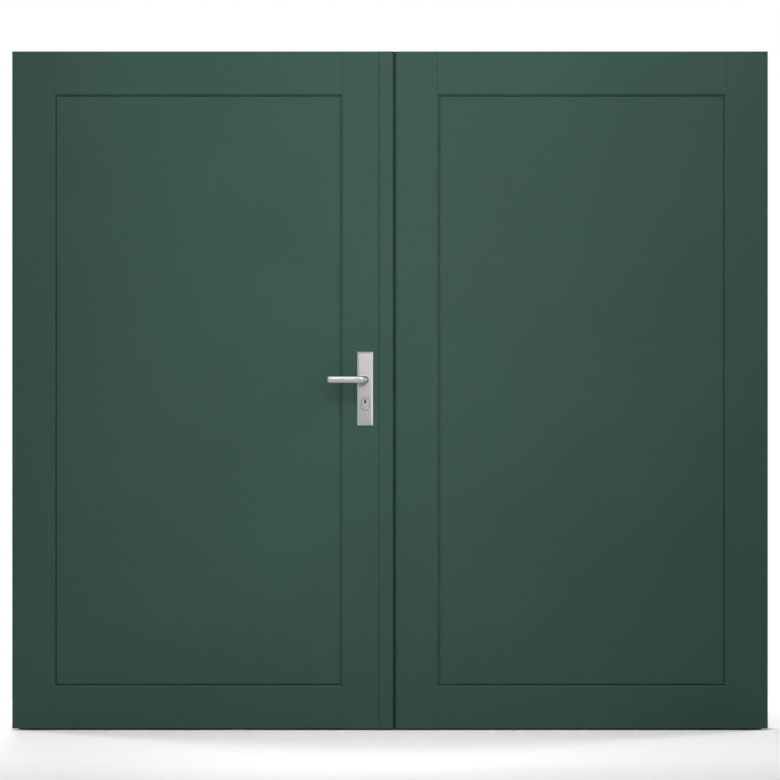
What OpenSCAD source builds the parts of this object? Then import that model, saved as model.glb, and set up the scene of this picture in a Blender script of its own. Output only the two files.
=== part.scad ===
// Pair of side-hung timber garage doors on a frame that the closed leaves hide.
// X runs along the doors, Y from the street into the garage, Z up from the floor.
// The origin is the middle of the threshold's underside. Sizes are in millimetres.

/* [Doors] */
// Width across both closed leaves
door_w = 2400; // [2200:10:2800]
// Height from the floor to the top of the leaves
door_h = 2156; // [2000:2:2400]
// Thickness of a leaf
leaf_t = 54; // [52:1:60]
// Air gap under the leaves
floor_gap = 6; // [4:1:10]
// Gap between the two leaves
meeting_gap = 4; // [3:0.5:6]

/* [Leaf joinery] */
// Flat face of the outer stiles
hinge_stile_w = 131; // [110:1:160]
// Flat face of the meeting stiles
meeting_stile_w = 147; // [142:1:170]
// Flat face of the top rails
top_rail_w = 134; // [110:1:180]
// Flat face of the bottom rails
bottom_rail_w = 131; // [110:1:220]
// Width of the sloped edge beside the groove
edge_slope = 6; // [3:0.5:8]
// Depth of the sloped edge beside the groove
edge_depth = 4; // [2:0.5:5]
// Thickness of the front lip that covers the panel tongue
lip_t = 8; // [6:0.5:14]
// Reach of the panel tongue behind the lip
tongue_w = 12; // [8:1:16]
// Open groove between the lip and the raised field
groove_w = 3.5; // [2:0.5:12]
// Set-back of the raised field from the face of the stiles
field_setback = 1.5; // [0.5:0.5:4]
// Sloped edge of the raised field
field_slope = 1.5; // [1:0.5:5]
// Panel thickness from the field to the back
panel_t = 30; // [26:1:34]
// Play around the panel tongue
panel_play = 1; // [0.5:0.25:2]
// Width of the beads that hold the panel
bead_w = 18; // [15:1:24]
// Sloped edge of the beads
bead_slope = 5; // [2:0.5:8]
// Softened outer edges of the timber
arris = 2; // [1:0.5:3]
// Seam where a rail meets a stile
seam_w = 1.5; // [0.5:0.25:2.5]
// Length of the rail tenons
tenon_len = 60; // [40:1:80]
// Thickness of the rail tenons
tenon_t = 16; // [12:1:18]
// Distance from the rail's outer edge to its tenon
tenon_shoulder = 25; // [15:1:40]
// Play around the tenons
tenon_play = 0.5; // [0.25:0.25:1]

/* [Astragal] */
// Width of the astragal let into the active leaf
astragal_seat = 32.5; // [26:0.5:34]
// Overlap of the astragal on the passive leaf
astragal_lap = 7.5; // [6:0.5:9]
// Height of the astragal above the leaf face
astragal_proud = 4; // [2:0.5:8]
// Depth to which the astragal is let in
astragal_let_in = 8; // [6:0.5:10]
// Sloped edge of the astragal
astragal_slope = 2.5; // [1:0.5:3.5]
// Open joint between the astragal and the passive leaf
lap_gap = 6.5; // [3:0.5:9]
// Space behind the lap for its seal
lap_seal_t = 2; // [1.5:0.25:3]
// Play between the lap seal and the side of its rebate
lap_seal_play = 0.5; // [0.3:0.1:1.5]
// Radius of the passive leaf's rounded edge beside the open joint
lap_round = 9; // [2:0.5:9.5]

/* [Frame] */
// Depth of the frame
frame_d = 90; // [84:1:120]
// Width of the jambs
jamb_w = 70; // [64:1:90]
// Height of the head
head_w = 70; // [60:1:90]
// Length of the head tenons
head_tenon_len = 40; // [25:1:50]
// Thickness of the head tenons
head_tenon_t = 24; // [16:1:30]
// Height of the head tenons
head_tenon_h = 35; // [25:1:45]
// Height of the threshold
threshold_h = 20; // [18:1:26]
// Step down at the back of the threshold
threshold_step = 8; // [4:1:12]
// Width of the seals on the frame
seal_w = 12; // [8:1:16]
// Slope of the sides of the seals
seal_taper = 2.4; // [1:0.1:3.5]
// Distance of the seals from the inner edge of the frame
seal_inset = 3; // [1:0.5:6]
// Gap between soft pieces and their neighbours
soft_gap = 0.3; // [0.2:0.05:0.5]
// Radius of the empty fixing holes
fixing_r = 5.25; // [4:0.25:6.5]
// Radius of the sinkings around the fixing holes
sink_r = 10; // [8:0.5:12]
// Depth of the sinkings
sink_d = 12; // [6:1:20]
// Distance of the fixing holes behind the middle of the frame
fixing_y = 15; // [5:1:22]
// Distance of the end jamb fixings from the ends of the jamb
jamb_fixing_end = 319.5; // [200:0.5:450]
// Spacing of the inner jamb fixings
jamb_inner_pitch = 500; // [300:10:800]
// Spacing of the head fixings
head_pitch = 1000; // [600:10:1400]

/* [Hinges] */
// Height of a hinge
hinge_h = 100; // [80:5:130]
// Distance from the leaf's outer edge to the hinge axis
hinge_inset = 9; // [9:0.5:12]
// Number of knuckles in a hinge
knuckle_count = 5; // [5:2:7]
// Radius of the knuckles
knuckle_r = 7; // [6.5:0.25:8]
// Space around the knuckles
knuckle_play = 1; // [0.75:0.25:2]
// Gap between neighbouring knuckles
knuckle_gap = 0.5; // [0.3:0.1:1]
// Radius of the hinge pins
pin_r = 4; // [3:0.25:4.5]
// Running clearance of pins and journals
run_play = 0.05; // [0.03:0.01:0.08]
// Radius of the caps on the hinge pins
cap_r = 6; // [5:0.25:6.5]
// Thickness of the caps on the hinge pins
cap_t = 2.5; // [1:0.5:4]
// Width of a hinge plate
hinge_plate_w = 40; // [34:1:48]
// Thickness of a hinge plate
hinge_plate_t = 2.5; // [2:0.25:3]
// Gap between the closed hinge plates
hinge_plate_gap = 1; // [0.8:0.1:1.5]
// Radius of the screw holes in the hinge plates
hinge_screw_r = 2.75; // [2:0.25:3.5]
// Spacing of the screw holes along a hinge plate
hinge_screw_pitch = 24; // [18:1:24]
// Distance of the end screw holes from the plate's knuckle edge
hinge_screw_in = 14; // [8:1:20]
// Distance of the middle screw holes from the plate's knuckle edge
hinge_screw_out = 30; // [22:1:31]
// Distance of the end hinges from the ends of the leaf
hinge_end = 220; // [150:10:350]

/* [Lever set] */
// Height of the spindle above the bottom of the leaf
spindle_h = 1108; // [1050:1:1160]
// Distance from the meeting edge to the spindle
backset = 77; // [70:1:80]
// Distance from the spindle down to the lock cylinder
lock_drop = 70; // [70:1:78]
// Width of the lever plates
lever_plate_w = 50; // [44:1:56]
// Height of the lever plates
lever_plate_h = 234; // [230:1:246]
// Thickness of the lever plates
lever_plate_t = 8; // [6:0.5:10]
// Height of the lever plates above the spindle
lever_plate_above = 88; // [84:1:92]
// Width of the sloped edges of the lever plates
plate_slope_w = 6; // [3:0.5:8]
// Depth of the sloped edges of the lever plates
plate_slope_d = 4; // [2:0.5:5]
// Radius of the lever's journal in its plate
journal_r = 9; // [8:0.25:10]
// Radius of the lever's foot on the plate
flare_r = 13; // [11:0.5:16]
// Radius of the lever's neck
neck_r = 8.5; // [7.5:0.25:10]
// Length of the lever's neck
neck_len = 28; // [22:1:34]
// Radius of the bend from neck to grip
bend_r = 14; // [11:0.5:18]
// Length from the spindle to the lever's tip
lever_reach = 121; // [100:1:140]
// Height of the grip
grip_h = 22; // [18:0.5:26]
// Thickness of the grip
grip_t = 13; // [10:0.5:16]
// Length of the change from the bend to the grip
blend_len = 22; // [14:1:30]
// Side of the square spindle
spindle_w = 8; // [7:0.5:10]
// Play of the spindle in its sockets
spindle_play = 0.1; // [0.05:0.05:0.3]
// Depth of the spindle sockets in the lever necks
socket_len = 20; // [12:1:22]
// Play around the lever set and the cylinder in the timber
bore_play = 1; // [0.5:0.25:1.5]
// Radius of the plate bolts
plate_bolt_r = 2.5; // [2:0.25:3]
// Distance from the spindle up to the upper plate bolt
plate_bolt_up = 69; // [62:1:74]
// Distance from the spindle down to the lower plate bolt
plate_bolt_down = 134; // [130:1:136]
// Depth of the plate bolts in the outside plate
plate_bolt_in = 4; // [3:0.5:5]
// Radius of the plate bolt heads
plate_bolt_head_r = 4.5; // [4:0.25:6]
// Height of the plate bolt heads
plate_bolt_head_h = 2.5; // [1.5:0.25:4]

/* [Lock] */
// Depth of the lock case behind its face strip
case_depth = 107; // [100:1:112]
// Thickness of the lock case
case_t = 16; // [15:0.5:18]
// Wall of the lock case
case_wall = 2; // [1.5:0.25:2.5]
// Height of the lock case above the spindle
case_above = 45; // [40:1:50]
// Depth of the lock case below the spindle
case_below = 122; // [115:1:126]
// Thickness of the face strip and the strike plate
strip_t = 3; // [2:0.5:4]
// Width of the face strip and the strike plate
strip_w = 22; // [20:1:26]
// Height of the face strip above the spindle
strip_above = 78; // [60:1:90]
// Depth of the face strip below the spindle
strip_below = 160; // [140:1:180]
// Play around pieces let into the timber
let_play = 0.5; // [0.25:0.25:1]
// Throw of the latch
latch_throw = 12; // [9:0.5:13]
// Height of the latch head
latch_h = 18; // [14:1:20]
// Thickness of the latch and the deadbolt
bolt_t = 10; // [8:0.5:10.5]
// Distance of the latch above the spindle
latch_up = 25; // [24:0.5:28]
// Length of the latch head in the case
latch_len = 32; // [26:1:40]
// Play around the latch and the deadbolt
bolt_play = 0.4; // [0.3:0.05:0.8]
// Throw of the deadbolt
dead_throw = 20; // [14:1:22]
// Height of the deadbolt head
dead_h = 28; // [24:1:30]
// Distance of the deadbolt below the spindle
dead_down = 40; // [38:0.5:42]
// Length of the deadbolt head in the case
dead_len = 44; // [36:1:46]
// Flat at the tip of the latch's nose
nose_flat = 2.5; // [1.5:0.25:3.5]
// Length of the slope on the latch's nose
nose_len = 9.6; // [7:0.2:11]
// Height of the latch's tail
tail_h = 6; // [4:0.5:8]
// Thickness of the latch's and the deadbolt's tails
tail_t = 5; // [3:0.5:8]
// Gap between the follower's arm and the latch's tail
tail_gap = 2; // [1:0.25:3]
// Width of the lug on the latch's tail
lug_w = 5; // [3:0.5:8]
// Reach of the lug below the latch head
lug_drop = 2; // [1:0.25:3]
// Height of the deadbolt's tail
dead_tail_h = 12; // [8:1:16]
// Length of the deadbolt's tail
dead_tail_len = 50; // [40:1:54]
// Spare depth of the bolt pockets in the passive leaf
pocket_spare = 5; // [3:0.5:10]
// Radius of the follower
follower_r = 11; // [10:0.5:12]
// Reach of the follower's arm
arm_r = 20; // [18:0.5:20]
// Width of the follower's arm
arm_w = 6; // [4:0.5:7]
// Gap between the arm and the latch lug
lug_gap = 1; // [1:0.1:1.5]
// Radius of the lock cylinder
cyl_r = 10; // [9:0.25:11]
// Width of the cylinder's tail
cyl_tail_w = 12; // [10:0.5:14]
// Drop of the tail below the cylinder's centre
cyl_drop = 25; // [24:0.5:27]
// Wall of the collar around the cylinder
collar_wall = 2.5; // [1.5:0.25:3.5]
// Height of the collar on the plate
collar_t = 3; // [1:0.5:5]
// Sloped front edge of the collar
collar_slope = 1; // [0.5:0.25:1.5]
// Width of the open joint round the collar
collar_joint_w = 1; // [0.5:0.25:1.5]
// Depth of the open joint round the collar
collar_joint_d = 1.5; // [0.5:0.25:2]
// Radius of the cylinder plug
plug_r = 7.5; // [7:0.25:8]
// Width of the keyway
keyway_w = 5; // [3:0.1:5.5]
// Height of the keyway
keyway_h = 12.5; // [9:0.5:13]
// Depth of the keyway
keyway_d = 20; // [10:1:28]
// Reach of the cylinder's cam
cam_r = 15; // [13:0.5:15.5]
// Width of the cam
cam_w = 7.5; // [6:0.5:9]
// Thickness of the cam
cam_t = 10; // [8:0.5:10.5]

/* [Espagnolette] */
// Height of the espagnolette handle above the bottom of the leaf
espag_h = 1050; // [950:5:1150]
// Distance from the meeting edge to the rods
espag_inset = 75; // [60:1:90]
// Travel of each rod
rod_throw = 20; // [16:0.5:22]
// Radius of the rods
rod_r = 6; // [5:0.25:7]
// Distance of the rods behind the leaf
rod_off = 18; // [16:0.5:20]
// Clearance of the withdrawn rods
rod_clear = 3; // [2:0.5:5]
// Gap around the rods in guides and keeps
rod_play = 0.4; // [0.3:0.05:0.8]
// Number of pinion teeth
pinion_teeth = 16; // [14:2:20]
// Thickness of the pinion and the racks
rack_t = 8; // [6:0.5:10]
// Solid back of the racks
rack_back = 5; // [4:0.5:7]
// Play between rack and pinion teeth
backlash = 0.4; // [0.3:0.05:0.6]
// Height of the feet that join the racks to the rods
foot_h = 8; // [6:0.5:10]
// Gap between the pinion and the rack feet
foot_gap = 1; // [0.5:0.25:2]
// Wall of the espagnolette case
espag_wall = 3; // [2:0.5:4]
// Space around the racks in the case
espag_play = 1.5; // [1:0.25:3]
// Depth of the espagnolette case
espag_d = 30; // [28:1:34]
// Sloped edge of the espagnolette case
espag_slope = 2; // [1:0.25:2.5]
// Length of the espagnolette handle
espag_reach = 110; // [90:1:130]
// Length of the espagnolette handle's neck
espag_neck_len = 16; // [14:1:24]
// Width of the rod guides
guide_w = 30; // [24:1:36]
// Height of the rod guides
guide_h = 20; // [14:1:30]
// Thickness of a rod guide beyond its rod
guide_cover = 6; // [4:0.5:8]
// Distance of the end guides from the ends of the leaf
guide_end = 170; // [150:5:260]
// Distance of the inner guides from the handle
guide_mid = 330; // [250:5:450]
// Thickness of the head keep
keep_t = 3; // [2:0.5:4]
// Width of the head keep
keep_w = 46; // [36:1:60]
// Depth of the head keep across the head
keep_d = 26; // [22:1:28]
// Wall of the threshold keep
keep_wall = 2.5; // [2:0.25:4]

/* [Hidden] */
$fn = 64;
cut = 1;
thin = 0.1;
tooth_angle = 20;
root_modules = 1.25;
flank_steps = 4;

seat_gap = 2 * hinge_plate_t + hinge_plate_gap;
frame_front = -frame_d / 2;
leaf_back = frame_front - seat_gap;
leaf_front = leaf_back - leaf_t;
leaf_mid = (leaf_front + leaf_back) / 2;
leaf_h = door_h - floor_gap;
edge_x = -door_w / 2;
meet_x = -meeting_gap / 2;

overlay = hinge_inset + knuckle_r + knuckle_play;
jamb_x = edge_x + overlay;
clear_x = jamb_x + jamb_w;
frame_top = door_h - overlay;
head_z = frame_top - head_w;
jamb_mid = frame_top / 2;
jamb_end_pitch = frame_top - 2 * jamb_fixing_end;

hinge_x = edge_x + hinge_inset;
hinge_y = frame_front - seat_gap / 2;
hinge_rebate_d = knuckle_r + knuckle_play - seat_gap / 2;
plate_x = hinge_x + knuckle_r + knuckle_play + knuckle_gap;
knuckle_len = hinge_h / knuckle_count;
hinge_low = floor_gap + hinge_end;
hinge_high = door_h - hinge_end;
hinge_mid = (hinge_low + hinge_high) / 2;

tongue_edge = edge_slope - tongue_w;
field_edge = edge_slope + groove_w;
panel_front = leaf_front + field_setback;
panel_back = panel_front + panel_t;
tongue_front = leaf_front + lip_t;
stile_in = edge_x + hinge_stile_w;
meet_in = meet_x - meeting_stile_w;
rail_top = door_h - top_rail_w;
rail_low = floor_gap + bottom_rail_w;
rail_x0 = stile_in + tongue_edge;
rail_x1 = meet_in - tongue_edge;
bead_z0 = rail_low + tongue_edge;
bead_z1 = rail_top - tongue_edge;

astragal_x = meet_x - astragal_seat;
astragal_end = -meet_x + astragal_lap;
astragal_front = leaf_front - astragal_proud;
astragal_back = leaf_front + astragal_let_in;
lap_w = astragal_lap + lap_gap;
lap_d = astragal_let_in + lap_seal_t;

lever_z = floor_gap + spindle_h;
lever_x = meet_x - backset;
cyl_z = lever_z - lock_drop;
plate_mid_z = lever_z + lever_plate_above - lever_plate_h / 2;
outside_face = leaf_front - lever_plate_t;
inside_face = leaf_back + lever_plate_t;
cyl_front = outside_face - collar_t;
cyl_back = inside_face + collar_t;
collar_r = cyl_r + collar_wall;
collar_low = cyl_z - cyl_drop + cyl_r;
case_x = meet_x - strip_t;
case_in = case_x - case_depth;
latch_z = lever_z + latch_up;
dead_z = lever_z - dead_down;
lug_z = latch_z - latch_h / 2 - lug_drop;
tail_z = lever_z + arm_r + tail_gap;
pocket_d = dead_throw - meeting_gap + pocket_spare;

espag_x = -meet_x + espag_inset;
espag_z = floor_gap + espag_h;
rod_y = leaf_back + rod_off;
espag_face = leaf_back + espag_d;
pitch_r = rod_throw * 2 / PI;
tooth_m = 2 * pitch_r / pinion_teeth;
tooth_p = PI * tooth_m;
root_off = root_modules * tooth_m;
root_r = pitch_r - root_off;
base_r = pitch_r * cos(tooth_angle);
tip_r = pitch_r + tooth_m;
rack_out = pitch_r + root_off + rack_back;
foot_z = ceil((tip_r + foot_gap) / tooth_p) * tooth_p;
rack_end = ceil((rod_throw + tooth_p) / tooth_p) * tooth_p + tooth_p;
espag_half_w = rack_out + espag_play + espag_wall;
espag_half_h = max(foot_z + foot_h + rod_throw, rack_end) + espag_play + espag_wall;
rod_top = head_z - rod_clear;
rod_low = threshold_h + rod_clear;

timber = [0.20, 0.32, 0.28];
alu = [0.75, 0.75, 0.74];
steel = [0.62, 0.63, 0.65];
brass = [0.78, 0.65, 0.36];
rubber = [0.10, 0.10, 0.11];

// Draws a shape given across Y and Z, swept along X from x0.
module sweep_x(x0, len) {
  translate([x0, 0, 0]) rotate([90, 0, 90]) linear_extrude(len) children();
}

// Draws a shape given across X and Z, swept along Y from y0.
module sweep_y(y0, len) {
  translate([0, y0 + len, 0]) rotate([90, 0, 0]) linear_extrude(len) children();
}

// Draws a shape given across X and Y, swept along Z from z0.
module sweep_z(z0, len) {
  translate([0, 0, z0]) linear_extrude(len) children();
}

// Box between two corners.
module box(a, b) {
  translate(a) cube(b - a);
}

// Round bar along Y.
module bar_y(x, z, r, y0, y1) {
  translate([x, y1, z]) rotate([90, 0, 0]) cylinder(r = r, h = y1 - y0);
}

// Block on the plane y = 0 that stands out to -Y, with four sloped front edges.
module sloped_block(w, h, t, sw, sd) {
  intersection() {
    sweep_z(-h / 2, h) polygon([
      [-w / 2, 0], [w / 2, 0], [w / 2, sd - t], [w / 2 - sw, -t], [sw - w / 2, -t], [-w / 2, sd - t]
    ]);
    sweep_x(-w / 2, w) polygon([
      [0, -h / 2], [0, h / 2], [sd - t, h / 2], [-t, h / 2 - sw], [-t, sw - h / 2], [sd - t, -h / 2]
    ]);
  }
}

// Section of a leaf member as pairs of the distance from its outer edge and Y.
function member(w) = [
  [0, leaf_front + arris], [arris, leaf_front], [w, leaf_front],
  [w + edge_slope, leaf_front + edge_depth], [w + edge_slope, tongue_front],
  [w + tongue_edge, tongue_front], [w + tongue_edge, leaf_back],
  [arris, leaf_back], [0, leaf_back - arris]
];

// Section of a panel bead as pairs of the distance from the timber it lies against and Y.
bead = [
  [0, panel_back], [bead_w, panel_back], [bead_w, leaf_back - bead_slope],
  [bead_w - bead_slope, leaf_back], [0, leaf_back]
];

module hinge_stile_blank() {
  translate([edge_x, 0, 0]) sweep_z(floor_gap, leaf_h) polygon(member(hinge_stile_w));
}

module meeting_stile_blank() {
  translate([meet_x, 0, 0]) mirror([1, 0, 0])
    sweep_z(floor_gap, leaf_h) polygon(member(meeting_stile_w));
}

// Tenons of one rail, or the mortises for them; z0 and z1 bound the rail's solid part.
module tenons(z0, z1, play) {
  y0 = leaf_mid - tenon_t / 2 - play;
  y1 = leaf_mid + tenon_t / 2 + play;
  box([rail_x0 - tenon_len - play, y0, z0 - play], [rail_x0 + cut, y1, z1 + play]);
  box([rail_x1 - cut, y0, z0 - play], [rail_x1 + tenon_len + play, y1, z1 + play]);
}

module top_tenons(play) {
  tenons(rail_top - tongue_edge + tenon_shoulder / 2, door_h - tenon_shoulder, play);
}

module bottom_tenons(play) {
  tenons(floor_gap + tenon_shoulder, rail_low + tongue_edge - tenon_shoulder / 2, play);
}

// Cuts that shape the ends of a rail over the stiles and leave a fine seam.
module rail_end_cuts() {
  hinge_stile_blank();
  meeting_stile_blank();
  box([stile_in - cut, leaf_front - cut, 0], [stile_in + seam_w, leaf_front + seam_w, door_h + cut]);
  box([meet_in - seam_w, leaf_front - cut, 0], [meet_in + cut, leaf_front + seam_w, door_h + cut]);
}

module top_rail() {
  difference() {
    sweep_x(rail_x0, rail_x1 - rail_x0)
      polygon([for (p = member(top_rail_w)) [p[1], door_h - p[0]]]);
    rail_end_cuts();
  }
  top_tenons(0);
}

module bottom_rail() {
  difference() {
    sweep_x(rail_x0, rail_x1 - rail_x0)
      polygon([for (p = member(bottom_rail_w)) [p[1], floor_gap + p[0]]]);
    rail_end_cuts();
  }
  bottom_tenons(0);
}

module hinge_stile() {
  difference() {
    hinge_stile_blank();
    box([edge_x - cut, leaf_back - hinge_rebate_d, 0],
      [edge_x + overlay, leaf_back + cut, door_h + cut]);
    top_tenons(tenon_play);
    bottom_tenons(tenon_play);
  }
}

module meeting_stile() {
  difference() {
    meeting_stile_blank();
    top_tenons(tenon_play);
    bottom_tenons(tenon_play);
  }
}

// Panel with a raised field in front and a tongue all round.
module panel() {
  fx0 = stile_in + field_edge;
  fx1 = meet_in - field_edge;
  fz0 = rail_low + field_edge;
  fz1 = rail_top - field_edge;
  box([rail_x0 + panel_play, tongue_front, bead_z0 + panel_play],
    [rail_x1 - panel_play, panel_back, bead_z1 - panel_play]);
  translate([(fx0 + fx1) / 2, panel_back, (fz0 + fz1) / 2])
    sloped_block(fx1 - fx0, fz1 - fz0, panel_t, field_slope, field_slope);
}

module side_beads() {
  for (side = [[rail_x0, 0], [rail_x1, 1]])
    translate([side[0], 0, 0]) mirror([side[1], 0, 0])
      sweep_z(bead_z0, bead_z1 - bead_z0) polygon(bead);
}

module cross_beads() {
  len = rail_x1 - rail_x0 - 2 * bead_w;
  sweep_x(rail_x0 + bead_w, len) polygon([for (p = bead) [p[1], bead_z0 + p[0]]]);
  sweep_x(rail_x0 + bead_w, len) polygon([for (p = bead) [p[1], bead_z1 - p[0]]]);
}

// Knuckles of one hinge half; first is the lowest of every second knuckle.
module knuckles(zc, first, y0, y1) {
  for (i = [first : 2 : knuckle_count - 1]) {
    z0 = zc - hinge_h / 2 + i * knuckle_len + knuckle_gap / 2;
    len = knuckle_len - knuckle_gap;
    translate([hinge_x, hinge_y, z0]) cylinder(r = knuckle_r, h = len);
    box([hinge_x, y0, z0], [plate_x + cut, y1, z0 + len]);
  }
}

module hinge_half(zc, first, y0, y1) {
  difference() {
    union() {
      knuckles(zc, first, y0, y1);
      box([plate_x, y0, zc - hinge_h / 2], [plate_x + hinge_plate_w, y1, zc + hinge_h / 2]);
    }
    translate([hinge_x, hinge_y, zc - hinge_h]) cylinder(r = pin_r + run_play, h = 2 * hinge_h);
    for (k = [-1.5 : 1 : 1.5])
      bar_y(plate_x + (abs(k) > 1 ? hinge_screw_in : hinge_screw_out), zc + k * hinge_screw_pitch,
        hinge_screw_r, y0 - cut, y1 + cut);
  }
}

module frame_hinge(zc) {
  hinge_half(zc, 0, frame_front - hinge_plate_t, frame_front);
}

module leaf_hinge(zc) {
  hinge_half(zc, 1, leaf_back, leaf_back + hinge_plate_t);
}

module hinge_pins() {
  for (zc = [hinge_low, hinge_mid, hinge_high]) {
    z0 = zc - hinge_h / 2 - knuckle_gap;
    z1 = zc + hinge_h / 2 + knuckle_gap;
    translate([hinge_x, hinge_y, z0]) cylinder(r = pin_r, h = z1 - z0);
    translate([hinge_x, hinge_y, z1]) cylinder(r = cap_r, h = cap_t);
    translate([hinge_x, hinge_y, z0 - cap_t]) cylinder(r = cap_r, h = cap_t);
  }
}

// Fixing hole through a jamb, sunk on the doorway side.
module jamb_fixing(z) {
  translate([jamb_x - cut, fixing_y, z]) rotate([0, 90, 0]) cylinder(r = fixing_r, h = jamb_w + 2 * cut);
  translate([clear_x - sink_d, fixing_y, z]) rotate([0, 90, 0]) cylinder(r = sink_r, h = sink_d + cut);
}

module head_tenons(play) {
  for (s = [-1, 1])
    translate([s * (-clear_x + head_tenon_len / 2 - cut / 2), 0, head_z + head_w / 2])
      cube([head_tenon_len + cut + 2 * play, head_tenon_t + 2 * play, head_tenon_h + 2 * play],
        center = true);
}

module jamb() {
  difference() {
    sweep_z(0, frame_top) polygon([
      [jamb_x, frame_front], [clear_x, frame_front], [clear_x, frame_d / 2 - arris],
      [clear_x - arris, frame_d / 2], [jamb_x + arris, frame_d / 2], [jamb_x, frame_d / 2 - arris]
    ]);
    for (s = [-1, 1]) {
      jamb_fixing(jamb_mid + s * jamb_end_pitch / 2);
      jamb_fixing(jamb_mid + s * jamb_inner_pitch / 2);
    }
    head_tenons(tenon_play);
  }
}

module jamb_seal() {
  x0 = clear_x - seal_inset - seal_w;
  sweep_z(threshold_h, head_z - threshold_h) polygon([
    [x0, frame_front], [x0 + seal_w, frame_front], [x0 + seal_w - seal_taper, leaf_back + soft_gap],
    [x0 + seal_taper, leaf_back + soft_gap]
  ]);
}

module left_jamb() {
  color(timber) jamb();
}

module right_jamb() {
  color(timber) mirror([1, 0, 0]) jamb();
}

module head() {
  color(timber) {
    difference() {
      sweep_x(clear_x, -2 * clear_x) polygon([
        [frame_front, head_z], [frame_front, frame_top], [frame_d / 2 - arris, frame_top],
        [frame_d / 2, frame_top - arris], [frame_d / 2, head_z + arris], [frame_d / 2 - arris, head_z]
      ]);
      for (s = [-1, 1]) {
        translate([s * head_pitch / 2, fixing_y, head_z - cut]) {
          cylinder(r = fixing_r, h = head_w + 2 * cut);
          cylinder(r = sink_r, h = sink_d + cut);
        }
      }
      box([espag_x - keep_w / 2 - let_play, rod_y - keep_d / 2 - let_play, head_z - cut],
        [espag_x + keep_w / 2 + let_play, rod_y + keep_d / 2 + let_play, head_z + keep_t + let_play]);
      translate([espag_x, rod_y, head_z]) cylinder(r = rod_r + 2 * rod_play, h = rod_throw + keep_t);
    }
    head_tenons(0);
  }
}

// Metal sill with a step down towards the garage.
module threshold() {
  color(alu) difference() {
    sweep_x(clear_x, -2 * clear_x) polygon([
      [frame_front, 0], [frame_front, threshold_h], [0, threshold_h],
      [threshold_step, threshold_h - threshold_step], [frame_d / 2, threshold_h - threshold_step],
      [frame_d / 2, 0]
    ]);
    translate([espag_x, rod_y, -cut])
      cylinder(r = rod_r + rod_play + keep_wall + soft_gap, h = threshold_h + 2 * cut);
  }
}

module left_seal() {
  color(rubber) jamb_seal();
}

module right_seal() {
  color(rubber) mirror([1, 0, 0]) jamb_seal();
}

module head_seal() {
  x0 = clear_x - seal_inset - seal_w;
  z0 = head_z + seal_inset;
  color(rubber) sweep_x(x0, -2 * x0) polygon([
    [frame_front, z0], [frame_front, z0 + seal_w], [leaf_back + soft_gap, z0 + seal_w - seal_taper],
    [leaf_back + soft_gap, z0 + seal_taper]
  ]);
}

module threshold_seal() {
  z1 = threshold_h - seal_inset / 2;
  z0 = z1 - seal_w;
  color(rubber) sweep_x(clear_x, -2 * clear_x) polygon([
    [frame_front, z0], [frame_front, z1], [leaf_back + soft_gap, z1 - seal_taper],
    [leaf_back + soft_gap, z0 + seal_taper]
  ]);
}

module head_keep() {
  color(steel) difference() {
    box([espag_x - keep_w / 2, rod_y - keep_d / 2, head_z],
      [espag_x + keep_w / 2, rod_y + keep_d / 2, head_z + keep_t]);
    translate([espag_x, rod_y, head_z - cut]) cylinder(r = rod_r + rod_play, h = keep_t + 2 * cut);
  }
}

module threshold_keep() {
  color(steel) difference() {
    translate([espag_x, rod_y, 0]) cylinder(r = rod_r + rod_play + keep_wall, h = threshold_h);
    translate([espag_x, rod_y, -cut]) cylinder(r = rod_r + rod_play, h = threshold_h + 2 * cut);
  }
}

module active_frame_hinge_low() {
  color(steel) frame_hinge(hinge_low);
}

module active_frame_hinge_mid() {
  color(steel) frame_hinge(hinge_mid);
}

module active_frame_hinge_high() {
  color(steel) frame_hinge(hinge_high);
}

module active_hinge_pins() {
  color(steel) hinge_pins();
}

module passive_frame_hinge_low() {
  color(steel) mirror([1, 0, 0]) frame_hinge(hinge_low);
}

module passive_frame_hinge_mid() {
  color(steel) mirror([1, 0, 0]) frame_hinge(hinge_mid);
}

module passive_frame_hinge_high() {
  color(steel) mirror([1, 0, 0]) frame_hinge(hinge_high);
}

module passive_hinge_pins() {
  color(steel) mirror([1, 0, 0]) hinge_pins();
}

module active_hinge_stile() {
  color(timber) hinge_stile();
}

// Outline of the lock cylinder across X and Z, grown by g.
module cylinder_outline(g) {
  translate([lever_x, cyl_z]) circle(r = cyl_r + g);
  translate([lever_x, cyl_z - cyl_drop + cyl_tail_w / 2]) circle(r = cyl_tail_w / 2 + g);
  translate([lever_x - cyl_tail_w / 2 - g, cyl_z - cyl_drop + cyl_tail_w / 2])
    square([cyl_tail_w + 2 * g, cyl_drop - cyl_tail_w / 2]);
}

// Meeting stile that holds the lock, the lever set and the astragal.
module active_lock_stile() {
  color(timber) difference() {
    meeting_stile();
    box([astragal_x - let_play, leaf_front - cut, 0], [meet_x + cut, astragal_back, door_h + cut]);
    box([case_in - let_play, leaf_mid - case_t / 2 - let_play, lever_z - case_below - let_play],
      [meet_x + cut, leaf_mid + case_t / 2 + let_play, lever_z + case_above + let_play]);
    box([case_x, leaf_mid - strip_w / 2 - let_play, lever_z - strip_below - let_play],
      [meet_x + cut, leaf_mid + strip_w / 2 + let_play, lever_z + strip_above + let_play]);
    bar_y(lever_x, lever_z, journal_r + bore_play, leaf_front - cut, leaf_back + cut);
    sweep_y(leaf_front - cut, leaf_t + 2 * cut) cylinder_outline(bore_play);
    for (z = [lever_z + plate_bolt_up, lever_z - plate_bolt_down])
      bar_y(lever_x, z, plate_bolt_r + bore_play, leaf_front - cut, leaf_back + cut);
  }
}

module active_top_rail() {
  color(timber) top_rail();
}

module active_bottom_rail() {
  color(timber) bottom_rail();
}

module active_panel() {
  color(timber) panel();
}

module active_side_beads() {
  color(timber) side_beads();
}

module active_cross_beads() {
  color(timber) cross_beads();
}

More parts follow.
